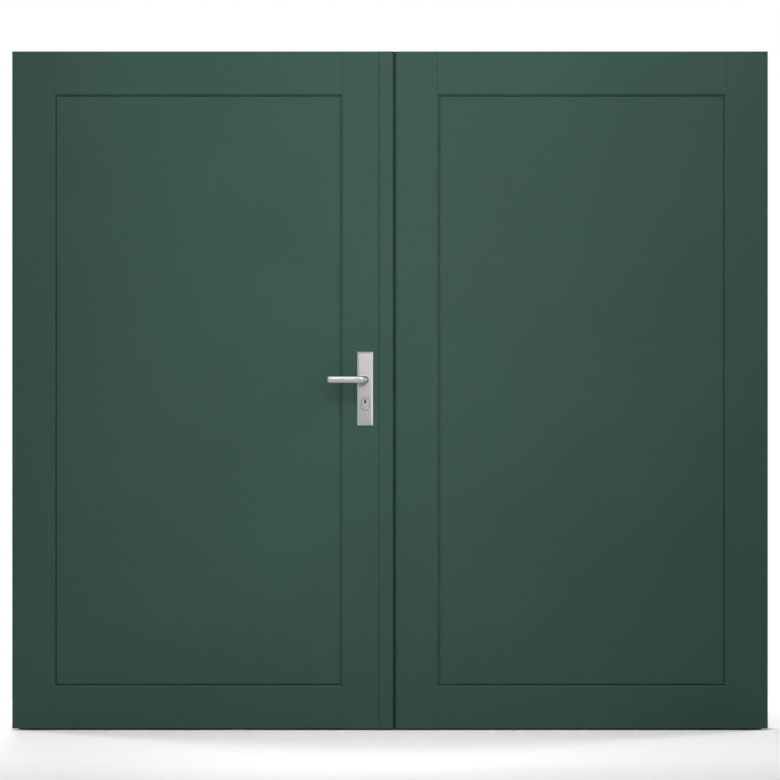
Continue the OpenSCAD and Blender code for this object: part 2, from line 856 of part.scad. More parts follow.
// Cover strip on the active leaf that laps the passive one.
module astragal() {
  color(timber) sweep_z(floor_gap, leaf_h) polygon([
    [astragal_x, astragal_back], [astragal_x, astragal_front + astragal_slope],
    [astragal_x + astragal_slope, astragal_front], [astragal_end - arris / 2, astragal_front],
    [astragal_end, astragal_front + arris / 2], [astragal_end, astragal_back]
  ]);
}

// Seal behind the lap that also closes the open joint beside it.
module lap_seal() {
  color(rubber) box([-meet_x + soft_gap, astragal_back, floor_gap],
    [-meet_x + lap_w - lap_seal_play, astragal_back + lap_seal_t - soft_gap, door_h]);
}

module active_leaf_hinge_low() {
  color(steel) leaf_hinge(hinge_low);
}

module active_leaf_hinge_mid() {
  color(steel) leaf_hinge(hinge_mid);
}

module active_leaf_hinge_high() {
  color(steel) leaf_hinge(hinge_high);
}

// Openings for the latch and the deadbolt, from x0 to x1, grown by g.
module bolt_openings(x0, x1, g) {
  for (bolt = [[latch_z, latch_h], [dead_z, dead_h]])
    box([x0, leaf_mid - bolt_t / 2 - g, bolt[0] - bolt[1] / 2 - g],
      [x1, leaf_mid + bolt_t / 2 + g, bolt[0] + bolt[1] / 2 + g]);
}

module lock_case() {
  color(steel) difference() {
    box([case_in, leaf_mid - case_t / 2, lever_z - case_below],
      [case_x, leaf_mid + case_t / 2, lever_z + case_above]);
    box([case_in + case_wall, leaf_mid - case_t / 2 + case_wall, lever_z - case_below + case_wall],
      [case_x - case_wall, leaf_mid + case_t / 2 - case_wall, lever_z + case_above - case_wall]);
    bolt_openings(case_x - 2 * case_wall, case_x + cut, bolt_play);
    bar_y(lever_x, lever_z, journal_r + run_play, leaf_front, leaf_back);
    sweep_y(leaf_front, leaf_t) cylinder_outline(let_play);
  }
}

module lock_strip() {
  color(steel) difference() {
    box([case_x, leaf_mid - strip_w / 2, lever_z - strip_below],
      [meet_x, leaf_mid + strip_w / 2, lever_z + strip_above]);
    bolt_openings(case_x - cut, meet_x + cut, bolt_play);
  }
}

// Outline of the recess for the collar across X and Z.
module collar_recess() {
  r = collar_r + collar_joint_w;
  translate([lever_x, cyl_z]) circle(r = r);
  translate([lever_x, collar_low]) circle(r = r);
  translate([lever_x - r, collar_low]) square([2 * r, cyl_z - collar_low]);
}

// Collar around the lock cylinder, with a sloped front edge.
module collar() {
  face_r = collar_r - collar_slope;
  rim = cyl_front + collar_slope;
  back = cyl_front + lever_plate_t;
  for (z = [collar_low, cyl_z]) {
    bar_y(lever_x, z, collar_r, rim, back);
    translate([lever_x, rim, z]) rotate([90, 0, 0])
      cylinder(r1 = collar_r, r2 = face_r, h = collar_slope);
  }
  translate([lever_x, 0, 0]) sweep_z(collar_low, cyl_z - collar_low) polygon([
    [-collar_r, back], [-collar_r, rim], [-face_r, cyl_front],
    [face_r, cyl_front], [collar_r, rim], [collar_r, back]
  ]);
}

// Plate that stands out to -Y from the leaf's face.
module lever_plate_body() {
  difference() {
    union() {
      difference() {
        translate([lever_x, leaf_front, plate_mid_z])
          sloped_block(lever_plate_w, lever_plate_h, lever_plate_t, plate_slope_w, plate_slope_d);
        sweep_y(outside_face - cut, cut + collar_joint_d) collar_recess();
      }
      collar();
    }
    bar_y(lever_x, lever_z, journal_r + run_play, outside_face - cut, leaf_front + cut);
    sweep_y(cyl_front - cut, lever_plate_t + collar_t + 2 * cut) cylinder_outline(soft_gap);
  }
}

// Turns what stands on the outer face of a leaf round to its inner face.
module to_inside() {
  translate([0, leaf_front + leaf_back, 0]) mirror([0, 1, 0]) children();
}

module outside_plate() {
  color(alu) difference() {
    lever_plate_body();
    for (z = [lever_z + plate_bolt_up, lever_z - plate_bolt_down])
      bar_y(lever_x, z, plate_bolt_r + soft_gap, leaf_front - plate_bolt_in, leaf_front + cut);
  }
}

module inside_plate() {
  color(alu) difference() {
    to_inside() lever_plate_body();
    for (z = [lever_z + plate_bolt_up, lever_z - plate_bolt_down])
      bar_y(lever_x, z, plate_bolt_r + soft_gap, leaf_back - cut, inside_face + cut);
  }
}

module plate_bolts() {
  color(steel) for (z = [lever_z + plate_bolt_up, lever_z - plate_bolt_down]) {
    bar_y(lever_x, z, plate_bolt_r, leaf_front - plate_bolt_in + soft_gap, inside_face + cut);
    bar_y(lever_x, z, plate_bolt_head_r, inside_face, inside_face + plate_bolt_head_h);
  }
}

// Two-ended cylinder housing, cut away in the middle for the cam.
module cylinder_body() {
  color(brass) difference() {
    sweep_y(cyl_front, cyl_back - cyl_front) cylinder_outline(0);
    bar_y(lever_x, cyl_z, plug_r + run_play, cyl_front - cut, cyl_back + cut);
    box([lever_x - cyl_r - cut, leaf_mid - cam_t / 2 - soft_gap, cyl_z - cam_r - cut],
      [lever_x + cyl_r + cut, leaf_mid + cam_t / 2 + soft_gap, cyl_z + cyl_r + cut]);
  }
}

module cylinder_plug() {
  color(brass) difference() {
    union() {
      bar_y(lever_x, cyl_z, plug_r, cyl_front, cyl_back);
      box([lever_x - cam_w / 2, leaf_mid - cam_t / 2, cyl_z - cam_r],
        [lever_x + cam_w / 2, leaf_mid + cam_t / 2, cyl_z]);
    }
    box([lever_x - keyway_w / 2, cyl_front - cut, cyl_z - keyway_h / 2],
      [lever_x + keyway_w / 2, cyl_front + keyway_d, cyl_z + keyway_h / 2]);
    box([lever_x - keyway_w / 2, cyl_back - keyway_d, cyl_z - keyway_h / 2],
      [lever_x + keyway_w / 2, cyl_back + cut, cyl_z + keyway_h / 2]);
  }
}

// Grip section across Y and Z.
module grip_section() {
  off = (grip_h - grip_t) / 2;
  translate([0, off]) circle(r = grip_t / 2);
  translate([0, -off]) circle(r = grip_t / 2);
  translate([-grip_t / 2, -off]) square([grip_t, 2 * off]);
}

// Lever that stands out to -Y from the plane y = 0 and reaches to -X.
module lever(foot_r, neck, reach, journal) {
  grip_y = -neck - bend_r;
  blend_x = -bend_r - blend_len;
  tip_x = grip_t / 2 - reach;
  curve_r = foot_r - neck_r;
  rotate([90, 0, 0]) rotate_extrude() difference() {
    translate([0, soft_gap]) square([foot_r, curve_r + cut]);
    translate([foot_r, soft_gap + cut + curve_r]) circle(r = curve_r);
  }
  rotate([90, 0, 0]) cylinder(r = neck_r, h = neck);
  rotate([-90, 0, 0]) cylinder(r = journal_r, h = journal);
  translate([0, soft_gap - cut, 0]) rotate([-90, 0, 0]) cylinder(r = journal_r, h = cut);
  translate([-bend_r, -neck, 0]) rotate([0, 0, -90])
    rotate_extrude(angle = 90) translate([bend_r, 0]) circle(r = neck_r);
  hull() {
    translate([0, grip_y, 0]) sweep_x(-bend_r - thin, thin) circle(r = neck_r, $fn = 32);
    translate([0, grip_y, 0]) sweep_x(blend_x, thin) grip_section($fn = 32);
  }
  translate([0, grip_y, 0]) sweep_x(tip_x, blend_x - tip_x) grip_section();
  translate([tip_x, grip_y, 0]) rotate([0, 0, 90]) rotate_extrude(angle = 180) intersection() {
    grip_section();
    translate([0, -grip_h]) square([grip_t, 2 * grip_h]);
  }
}

module spindle_socket() {
  w = spindle_w + 2 * spindle_play;
  box([lever_x - w / 2, outside_face - socket_len, lever_z - w / 2],
    [lever_x + w / 2, leaf_front + cut, lever_z + w / 2]);
}

module outside_lever_body() {
  difference() {
    translate([lever_x, outside_face, lever_z]) lever(flare_r, neck_len, lever_reach, lever_plate_t);
    spindle_socket();
  }
}

module outside_lever() {
  color(alu) outside_lever_body();
}

module inside_lever() {
  color(alu) to_inside() outside_lever_body();
}

module spindle() {
  y0 = outside_face - socket_len + soft_gap;
  y1 = inside_face + socket_len - soft_gap;
  color(steel) box([lever_x - spindle_w / 2, y0, lever_z - spindle_w / 2],
    [lever_x + spindle_w / 2, y1, lever_z + spindle_w / 2]);
}

// Hub in the lock case that the spindle turns; its arm draws the latch.
module follower() {
  w = spindle_w + 2 * spindle_play;
  t = case_t - 2 * case_wall - 2 * soft_gap;
  color(steel) difference() {
    union() {
      bar_y(lever_x, lever_z, follower_r, leaf_mid - t / 2, leaf_mid + t / 2);
      bar_y(lever_x, lever_z, journal_r, leaf_mid - case_t / 2, leaf_mid + case_t / 2);
      box([lever_x - arm_w / 2, leaf_mid - t / 2, lever_z],
        [lever_x + arm_w / 2, leaf_mid + t / 2, lever_z + arm_r]);
    }
    box([lever_x - w / 2, leaf_front, lever_z - w / 2], [lever_x + w / 2, leaf_back, lever_z + w / 2]);
  }
}

// Sprung latch with a nose sloped on the closing side and a lug behind the follower's arm.
module latch() {
  nose_x = meet_x + latch_throw;
  head_x = meet_x - latch_len;
  lug_x = lever_x - arm_w / 2 - lug_gap;
  color(steel) {
    sweep_z(latch_z - latch_h / 2, latch_h) polygon([
      [head_x, leaf_mid - bolt_t / 2], [nose_x, leaf_mid - bolt_t / 2],
      [nose_x, leaf_mid - bolt_t / 2 + nose_flat], [nose_x - nose_len, leaf_mid + bolt_t / 2],
      [head_x, leaf_mid + bolt_t / 2]
    ]);
    box([lug_x - lug_w, leaf_mid - tail_t / 2, tail_z],
      [head_x + cut, leaf_mid + tail_t / 2, tail_z + tail_h]);
    box([lug_x - lug_w, leaf_mid - tail_t / 2, lug_z], [lug_x, leaf_mid + tail_t / 2, tail_z + cut]);
  }
}

module deadbolt() {
  head_x = meet_x - dead_len;
  color(steel) {
    box([head_x, leaf_mid - bolt_t / 2, dead_z - dead_h / 2],
      [meet_x, leaf_mid + bolt_t / 2, dead_z + dead_h / 2]);
    box([head_x - dead_tail_len, leaf_mid - tail_t / 2, dead_z - dead_tail_h / 2],
      [head_x + cut, leaf_mid + tail_t / 2, dead_z + dead_tail_h / 2]);
  }
}

module passive_hinge_stile() {
  color(timber) mirror([1, 0, 0]) hinge_stile();
}

// Meeting stile with the rebate for the astragal's lap and the pockets for the bolts.
module passive_meeting_stile() {
  edge = -meet_x;
  color(timber) difference() {
    mirror([1, 0, 0]) meeting_stile();
    sweep_z(0, door_h + cut) difference() {
      translate([edge - cut, leaf_front - cut]) square([lap_w + lap_round + cut, lap_d + cut]);
      translate([edge + lap_w + lap_round, leaf_front + lap_round]) circle(r = lap_round);
      translate([edge + lap_w, leaf_front + lap_round]) square([lap_round + cut, lap_d]);
    }
    box([edge - cut, leaf_mid - strip_w / 2 - let_play, lever_z - strip_below - let_play],
      [edge + strip_t, leaf_mid + strip_w / 2 + let_play, lever_z + strip_above + let_play]);
    bolt_openings(edge - cut, edge + pocket_d, 2 * bolt_play);
  }
}

module passive_top_rail() {
  color(timber) mirror([1, 0, 0]) top_rail();
}

module passive_bottom_rail() {
  color(timber) mirror([1, 0, 0]) bottom_rail();
}

module passive_panel() {
  color(timber) mirror([1, 0, 0]) panel();
}

module passive_side_beads() {
  color(timber) mirror([1, 0, 0]) side_beads();
}

module passive_cross_beads() {
  color(timber) mirror([1, 0, 0]) cross_beads();
}

module passive_leaf_hinge_low() {
  color(steel) mirror([1, 0, 0]) leaf_hinge(hinge_low);
}

module passive_leaf_hinge_mid() {
  color(steel) mirror([1, 0, 0]) leaf_hinge(hinge_mid);
}

module passive_leaf_hinge_high() {
  color(steel) mirror([1, 0, 0]) leaf_hinge(hinge_high);
}

module strike_plate() {
  edge = -meet_x;
  color(steel) difference() {
    box([edge, leaf_mid - strip_w / 2, lever_z - strip_below],
      [edge + strip_t, leaf_mid + strip_w / 2, lever_z + strip_above]);
    bolt_openings(edge - cut, edge + strip_t + cut, 2 * bolt_play);
  }
}

// Closed case on the inner face of the passive leaf, with holes for the rods and the handle.
module espag_case() {
  iw = espag_half_w - espag_wall;
  ih = espag_half_h - espag_wall;
  color(steel) difference() {
    translate([espag_x, leaf_back, espag_z]) rotate([0, 0, 180])
      sloped_block(2 * espag_half_w, 2 * espag_half_h, espag_d, espag_slope, espag_slope);
    box([espag_x - iw, leaf_back + espag_wall, espag_z - ih],
      [espag_x + iw, espag_face - espag_wall, espag_z + ih]);
    translate([espag_x, rod_y, espag_z - espag_half_h - cut])
      cylinder(r = rod_r + rod_play, h = 2 * espag_half_h + 2 * cut);
    bar_y(espag_x, espag_z, journal_r + run_play, espag_face - 2 * espag_wall, espag_face + cut);
  }
}

module rod_guides() {
  heights = [floor_gap + guide_end, espag_z - guide_mid, espag_z + guide_mid, door_h - guide_end];
  color(steel) for (z = heights)
    difference() {
      translate([espag_x, leaf_back, z]) rotate([0, 0, 180])
        sloped_block(guide_w, guide_h, rod_off + rod_r + guide_cover, espag_slope, espag_slope);
      translate([espag_x, rod_y, z - guide_h]) cylinder(r = rod_r + rod_play, h = 2 * guide_h);
    }
}

// Handle of the espagnolette with the square shank that turns the pinion.
module espag_handle() {
  y0 = rod_y - rack_t / 2;
  color(alu) {
    translate([espag_x, espag_face, espag_z]) rotate([0, 0, 180])
      lever(flare_r, espag_neck_len, espag_reach, espag_wall);
    box([espag_x - spindle_w / 2, y0, espag_z - spindle_w / 2],
      [espag_x + spindle_w / 2, espag_face, espag_z + spindle_w / 2]);
  }
}

// Involute angle at radius r, in degrees.
function involute(r) = tan(acos(base_r / r)) * 180 / PI - acos(base_r / r);

// Half angle of a pinion tooth at radius r.
function half_tooth(r) =
  90 / pinion_teeth - backlash / pitch_r * 45 / PI - involute(r) + involute(pitch_r);

// Flank radii of a pinion tooth from its base to its tip.
flank = [for (k = [0 : flank_steps]) base_r + (tip_r - base_r) * k / flank_steps];

// Point on a flank at radius r, on the side given by s.
function flank_point(r, s) = [r * cos(half_tooth(r)), s * r * sin(half_tooth(r))];

module pinion_outline() {
  foot = half_tooth(base_r) * base_r * PI / 180;
  circle(r = root_r);
  for (n = [0 : pinion_teeth - 1]) rotate(n * 360 / pinion_teeth) polygon(concat(
    [[root_r - cut, -foot]],
    [for (r = flank) flank_point(r, -1)],
    [for (k = [flank_steps : -1 : 0]) flank_point(flank[k], 1)],
    [[root_r - cut, foot]]
  ));
}

module espag_pinion() {
  w = spindle_w + 2 * spindle_play;
  color(steel) difference() {
    translate([espag_x, 0, espag_z]) sweep_y(rod_y - rack_t / 2, rack_t) pinion_outline();
    box([espag_x - w / 2, rod_y - rack_t, espag_z - w / 2],
      [espag_x + w / 2, rod_y + rack_t, espag_z + w / 2]);
  }
}

// Rack to the right of the pinion with the foot that carries it, across X and Z.
module rack_outline() {
  root_half = tooth_p / 4 + root_off * tan(tooth_angle) - backlash / 4;
  tip_half = tooth_p / 4 - tooth_m * tan(tooth_angle) - backlash / 4;
  root_x = pitch_r + root_off;
  tip_x = pitch_r - tooth_m;
  translate([root_x, -foot_z]) square([rack_back, foot_z + rack_end]);
  for (z = [tooth_p / 2 - foot_z + tooth_p : tooth_p : rack_end]) polygon([
    [root_x + cut, z - root_half], [root_x, z - root_half], [tip_x, z - tip_half],
    [tip_x, z + tip_half], [root_x, z + root_half], [root_x + cut, z + root_half]
  ]);
  translate([-rod_r, -foot_z - foot_h]) square([rod_r + rack_out, foot_h]);
}

module top_rod() {
  color(steel) {
    translate([espag_x, 0, espag_z]) rotate([0, 180, 0])
      sweep_y(rod_y - rack_t / 2, rack_t) rack_outline();
    translate([espag_x, rod_y, espag_z + foot_z]) cylinder(r = rod_r, h = rod_top - espag_z - foot_z);
  }
}

module bottom_rod() {
  color(steel) {
    translate([espag_x, 0, espag_z]) sweep_y(rod_y - rack_t / 2, rack_t) rack_outline();
    translate([espag_x, rod_y, rod_low]) cylinder(r = rod_r, h = espag_z - foot_z - rod_low);
  }
}

left_jamb();
right_jamb();
head();
threshold();
left_seal();
right_seal();
head_seal();
threshold_seal();
head_keep();
threshold_keep();
active_frame_hinge_low();
active_frame_hinge_mid();
active_frame_hinge_high();
active_hinge_pins();
passive_frame_hinge_low();
passive_frame_hinge_mid();
passive_frame_hinge_high();
passive_hinge_pins();
active_hinge_stile();
active_lock_stile();
active_top_rail();
active_bottom_rail();
active_panel();
active_side_beads();
active_cross_beads();
astragal();
lap_seal();
active_leaf_hinge_low();
active_leaf_hinge_mid();
active_leaf_hinge_high();
lock_case();
lock_strip();
outside_plate();
inside_plate();
cylinder_body();
plate_bolts();
outside_lever();
inside_lever();
spindle();
follower();
latch();
deadbolt();
cylinder_plug();
passive_hinge_stile();
passive_meeting_stile();
passive_top_rail();
passive_bottom_rail();
passive_panel();
passive_side_beads();
passive_cross_beads();
passive_leaf_hinge_low();
passive_leaf_hinge_mid();
passive_leaf_hinge_high();
strike_plate();
espag_case();
rod_guides();
espag_handle();
espag_pinion();
top_rod();
bottom_rod();
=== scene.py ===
import math
import bmesh
import bpy
from mathutils import Matrix, Vector


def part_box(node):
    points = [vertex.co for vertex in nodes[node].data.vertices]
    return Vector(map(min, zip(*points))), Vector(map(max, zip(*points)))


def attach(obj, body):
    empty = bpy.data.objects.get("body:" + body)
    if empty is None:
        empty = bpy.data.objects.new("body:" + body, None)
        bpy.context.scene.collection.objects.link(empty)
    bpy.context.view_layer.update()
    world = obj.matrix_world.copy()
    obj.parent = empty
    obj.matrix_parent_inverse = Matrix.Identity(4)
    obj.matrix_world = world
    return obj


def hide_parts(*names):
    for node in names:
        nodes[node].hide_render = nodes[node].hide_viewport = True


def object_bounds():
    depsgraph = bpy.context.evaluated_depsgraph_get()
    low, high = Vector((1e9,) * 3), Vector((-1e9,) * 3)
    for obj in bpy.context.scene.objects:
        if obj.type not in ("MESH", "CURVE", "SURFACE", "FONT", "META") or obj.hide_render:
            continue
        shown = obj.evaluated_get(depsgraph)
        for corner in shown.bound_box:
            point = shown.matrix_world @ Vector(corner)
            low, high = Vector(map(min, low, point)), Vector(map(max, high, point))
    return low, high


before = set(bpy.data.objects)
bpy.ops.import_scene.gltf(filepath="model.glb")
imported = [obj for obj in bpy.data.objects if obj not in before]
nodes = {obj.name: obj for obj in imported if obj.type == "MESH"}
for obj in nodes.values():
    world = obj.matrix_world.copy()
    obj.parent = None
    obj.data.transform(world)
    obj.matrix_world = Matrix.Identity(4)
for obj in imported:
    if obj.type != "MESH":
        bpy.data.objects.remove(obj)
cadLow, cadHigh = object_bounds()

scene = bpy.context.scene
mm = 0.001  # the frame is in metres
quarterTurn = math.radians(90)
alongX, alongZ = 0, 2  # axes that timber grain follows
noiseLow, noiseHigh = 0.3, 0.7  # most of a noise texture's values lie between these
print("frame loaded:", len(nodes), "nodes")


def linear(hexCode):  # sRGB hex to linear light
    shares = [int(hexCode[i:i + 2], 16) / 255 for i in (1, 3, 5)]
    return [s / 12.92 if s <= 0.04045 else ((s + 0.055) / 1.055) ** 2.4 for s in shares] + [1.0]


def addNode(tree, kind, settings=None, links=None):  # settings name a socket, or else a property of the node
    node = tree.nodes.new(kind)
    for key, value in (settings or {}).items():
        if isinstance(key, int) or key in node.inputs:
            node.inputs[key].default_value = value
        else:
            setattr(node, key, value)
    for key, source in (links or {}).items():
        tree.links.new(source, node.inputs[key])
    return node


def newMaterial(name):  # a named material with an empty node tree
    material = bpy.data.materials.new(name)
    material.use_nodes = True
    material.node_tree.nodes.clear()
    return material, material.node_tree


def perMetre(sizeMm):  # texture scale that gives features of this size
    return 1 / (sizeMm * mm)


# Matt alkyd enamel rolled on planed softwood: one dark fir green that drifts a little in depth,
# a very low sheen, roller stipple, and grain that shows through as a faint relief along each member.
enamelLook = {
    "deep": "#2B4039",
    "pale": "#30473F",
    "driftMm": 420,
    "stippleMm": 2.2,
    "stippleRelief": 0.10,
    "stippleDepthMm": 0.15,
    "grainMm": 3.0,
    "grainLengthMm": 90,
    "grainDepthMm": 0.2,
    "memberGrain": 0.16,
    "panelGrain": 0.05,
    "roughLow": 0.50,
    "roughHigh": 0.60,
    "ior": 1.5,
    "sheen": 0.06,
}


def mattEnamel(name, grainAxis, grainRelief):
    look = enamelLook
    material, tree = newMaterial(name)
    place = addNode(tree, "ShaderNodeTexCoord").outputs["Object"]
    stretch = [1.0, 1.0, 1.0]
    stretch[grainAxis] = look["grainMm"] / look["grainLengthMm"]
    along = addNode(tree, "ShaderNodeMapping", {"Scale": stretch}, {"Vector": place})
    grain = addNode(tree, "ShaderNodeTexNoise",
                    {"Scale": perMetre(look["grainMm"]), "Detail": 3.0, "Distortion": 0.4},
                    {"Vector": along.outputs["Vector"]})
    drift = addNode(tree, "ShaderNodeTexNoise", {"Scale": perMetre(look["driftMm"]), "Detail": 2.0},
                    {"Vector": place})
    stipple = addNode(tree, "ShaderNodeTexNoise", {"Scale": perMetre(look["stippleMm"]), "Detail": 1.0},
                      {"Vector": place})
    colour = addNode(tree, "ShaderNodeMix",
                     {"data_type": "RGBA", 6: linear(look["deep"]), 7: linear(look["pale"])},
                     {0: drift.outputs["Fac"]})
    rough = addNode(tree, "ShaderNodeMapRange",
                    {"From Min": noiseLow, "From Max": noiseHigh,
                     "To Min": look["roughLow"], "To Max": look["roughHigh"]},
                    {"Value": stipple.outputs["Fac"]})
    ridges = addNode(tree, "ShaderNodeBump",
                     {"Strength": grainRelief, "Distance": look["grainDepthMm"] * mm},
                     {"Height": grain.outputs["Fac"]})
    relief = addNode(tree, "ShaderNodeBump",
                     {"Strength": look["stippleRelief"], "Distance": look["stippleDepthMm"] * mm},
                     {"Height": stipple.outputs["Fac"], "Normal": ridges.outputs["Normal"]})
    skin = addNode(tree, "ShaderNodeBsdfPrincipled",
                   {"IOR": look["ior"], "Specular IOR Level": look["sheen"]},
                   {"Base Color": colour.outputs[2], "Roughness": rough.outputs["Result"],
                    "Normal": relief.outputs["Normal"]})
    addNode(tree, "ShaderNodeOutputMaterial", None, {"Surface": skin.outputs["BSDF"]})
    return material


# Metal finishes share one build: two tones in soft clouds, fine lines that set roughness and relief, and on
# some, painted shade in deep places.
markDepth = 0.05 * mm  # how deep brush lines and tool marks are


def metalFinish(name, look):
    material, tree = newMaterial(name)
    place = addNode(tree, "ShaderNodeTexCoord").outputs["Object"]
    stretched = addNode(tree, "ShaderNodeMapping", {"Scale": look["stretch"]}, {"Vector": place})
    lines = addNode(tree, "ShaderNodeTexNoise", {"Scale": perMetre(look["lineMm"]), "Detail": 2.0},
                    {"Vector": stretched.outputs["Vector"]})
    cloud = addNode(tree, "ShaderNodeTexNoise", {"Scale": perMetre(look["cloudMm"]), "Detail": 2.0},
                    {"Vector": place})
    colour = addNode(tree, "ShaderNodeMix",
                     {"data_type": "RGBA", 6: linear(look["dull"]), 7: linear(look["bright"])},
                     {0: cloud.outputs["Fac"]})
    rough = addNode(tree, "ShaderNodeMapRange",
                    {"From Min": noiseLow, "From Max": noiseHigh,
                     "To Min": look["roughLow"], "To Max": look["roughHigh"]},
                    {"Value": lines.outputs["Fac"]})
    relief = addNode(tree, "ShaderNodeBump", {"Strength": look["relief"], "Distance": markDepth},
                     {"Height": lines.outputs["Fac"]})
    tone = colour.outputs[2]
    if "keywayShade" in look:  # painted shade in the deep keyway: the share of the length from the nearer end sets how dark it is
        length = addNode(tree, "ShaderNodeSeparateXYZ", None,
                         {0: addNode(tree, "ShaderNodeTexCoord").outputs["Generated"]}).outputs["Y"]
        other = addNode(tree, "ShaderNodeMath", {"operation": "SUBTRACT", 0: 1.0}, {1: length})
        nearer = addNode(tree, "ShaderNodeMath", {"operation": "MINIMUM"}, {0: length, 1: other.outputs[0]})
        keywayShadeMask = addNode(tree, "ShaderNodeMapRange",
                        {"From Min": look["keywayShadeFrom"], "From Max": look["keywayShadeTo"]},
                        {"Value": nearer.outputs[0]})
        tone = addNode(tree, "ShaderNodeMix", {"data_type": "RGBA", 7: linear(look["keywayShade"])},
                       {0: keywayShadeMask.outputs["Result"], 6: tone}).outputs[2]
    if "creviceShade" in look:  # painted shade: the less open the spot, the more near black is mixed in
        openness = addNode(tree, "ShaderNodeAmbientOcclusion",
                           {"Distance": look["creviceShadeReachMm"] * mm, "samples": look["creviceShadeSamples"]})
        unshadedShare = addNode(tree, "ShaderNodeMapRange",
                        {"From Min": look["openFrom"], "From Max": look["openTo"]},
                        {"Value": openness.outputs["AO"]})
        tone = addNode(tree, "ShaderNodeMix", {"data_type": "RGBA", 6: linear(look["creviceShade"])},
                       {0: unshadedShare.outputs["Result"], 7: tone}).outputs[2]
    skin = addNode(tree, "ShaderNodeBsdfPrincipled", {"Metallic": 1.0},
                   {"Base Color": tone, "Roughness": rough.outputs["Result"],
                    "Normal": relief.outputs["Normal"]})
    addNode(tree, "ShaderNodeOutputMaterial", None, {"Surface": skin.outputs["BSDF"]})
    return material


# Anodised aluminium, brushed upright and satin etched: a pale grey with fine lines and a wide soft shine.
# The brush lines are drawn about three times as coarse as real ones, so that they show.
brushedAluminium = {
    "dull": "#BABABA",
    "bright": "#C6C6C6",
    "stretch": (1.0, 1.0, 0.03),
    "lineMm": 0.6,
    "cloudMm": 40,
    "roughLow": 0.33,
    "roughHigh": 0.41,
    "relief": 0.12,
}
# The plates take painted shade, a near black, where their joints are narrow and deep.
plateAluminium = dict(brushedAluminium, creviceShade="#0C0C0B", creviceShadeReachMm=2.0, creviceShadeSamples=12,
                      openFrom=0.35, openTo=0.75)
# The same anodised finish on the levers, brushed along the grip and a little duller.
leverAluminium = dict(brushedAluminium, dull="#B5B5B5", bright="#C1C1C1", stretch=(0.03, 1.0, 1.0),
                      roughLow=0.46, roughHigh=0.54)
# Extruded aluminium, mill drawn: long die lines along the sill and a duller tone.
extrudedAluminium = {
    "dull": "#98999A",
    "bright": "#ABACAC",
    "stretch": (0.004, 1.0, 1.0),
    "lineMm": 1.6,
    "cloudMm": 120,
    "roughLow": 0.34,
    "roughHigh": 0.52,
    "relief": 0.25,
}
# Zinc plated pressed steel: a cool grey with cloudy passivation and a low, uneven shine.
zincPlate = {
    "dull": "#8E9296",
    "bright": "#A9ADB0",
    "stretch": (1.0, 1.0, 1.0),
    "lineMm": 4.0,
    "cloudMm": 14,
    "roughLow": 0.30,
    "roughHigh": 0.46,
    "relief": 0.08,
}
# Bright drawn and zinc plated bar: draw lines along its length.
drawnBar = dict(zincPlate, stretch=(1.0, 1.0, 0.01), lineMm=0.8, relief=0.15)
# Brass, turned and satin nickel plated: a warm grey with fine tool marks and a tighter shine.
nickelPlate = {
    "dull": "#BDBBB5",
    "bright": "#CBC9C4",
    "stretch": (1.0, 0.05, 1.0),
    "lineMm": 0.5,
    "cloudMm": 9,
    "roughLow": 0.32,
    "roughHigh": 0.42,
    "relief": 0.10,
}
# The plug is the same nickel, with painted shade in its deep keyway: it darkens just inside its ends.
shadedKeywayPlug = dict(nickelPlate, keywayShade="#14120F", keywayShadeFrom=0.002, keywayShadeTo=0.01)


# EPDM rubber, extruded: a matt green that is nearly black, with a chalky bloom and a fine skin.
rubberLook = {
    "deep": "#11261F",
    "bloom": "#183028",
    "bloomMm": 35,
    "skinMm": 0.8,
    "skinRelief": 0.2,
    "skinDepthMm": 0.1,
    "roughLow": 0.62,
    "roughHigh": 0.85,
    "ior": 1.52,
    "sheen": 0.15,
}


def extrudedRubber(name):
    look = rubberLook
    material, tree = newMaterial(name)
    place = addNode(tree, "ShaderNodeTexCoord").outputs["Object"]
    bloom = addNode(tree, "ShaderNodeTexNoise", {"Scale": perMetre(look["bloomMm"]), "Detail": 3.0},
                    {"Vector": place})
    skinGrain = addNode(tree, "ShaderNodeTexNoise", {"Scale": perMetre(look["skinMm"]), "Detail": 1.0},
                        {"Vector": place})
    colour = addNode(tree, "ShaderNodeMix",
                     {"data_type": "RGBA", 6: linear(look["deep"]), 7: linear(look["bloom"])},
                     {0: bloom.outputs["Fac"]})
    rough = addNode(tree, "ShaderNodeMapRange",
                    {"To Min": look["roughLow"], "To Max": look["roughHigh"]},
                    {"Value": bloom.outputs["Fac"]})
    relief = addNode(tree, "ShaderNodeBump",
                     {"Strength": look["skinRelief"], "Distance": look["skinDepthMm"] * mm},
                     {"Height": skinGrain.outputs["Fac"]})
    skin = addNode(tree, "ShaderNodeBsdfPrincipled",
                   {"IOR": look["ior"], "Specular IOR Level": look["sheen"]},
                   {"Base Color": colour.outputs[2], "Roughness": rough.outputs["Result"],
                    "Normal": relief.outputs["Normal"]})
    addNode(tree, "ShaderNodeOutputMaterial", None, {"Surface": skin.outputs["BSDF"]})
    return material


finishes = {
    "uprightTimber": mattEnamel("mattEnamelUprightTimber", alongZ, enamelLook["memberGrain"]),
    "levelTimber": mattEnamel("mattEnamelLevelTimber", alongX, enamelLook["memberGrain"]),
    "panel": mattEnamel("mattEnamelPanel", alongZ, enamelLook["panelGrain"]),
    "plate": metalFinish("brushedAnodisedAluminium", plateAluminium),
    "lever": metalFinish("anodisedAluminiumLever", leverAluminium),
    "sill": metalFinish("extrudedAluminiumSill", extrudedAluminium),
    "zinc": metalFinish("zincPlatedSteel", zincPlate),
    "bar": metalFinish("drawnZincPlatedBar", drawnBar),
    "nickel": metalFinish("nickelPlatedBrass", nickelPlate),
    "plug": metalFinish("nickelPlatedPlug", shadedKeywayPlug),
    "rubber": extrudedRubber("extrudedRubber"),
}


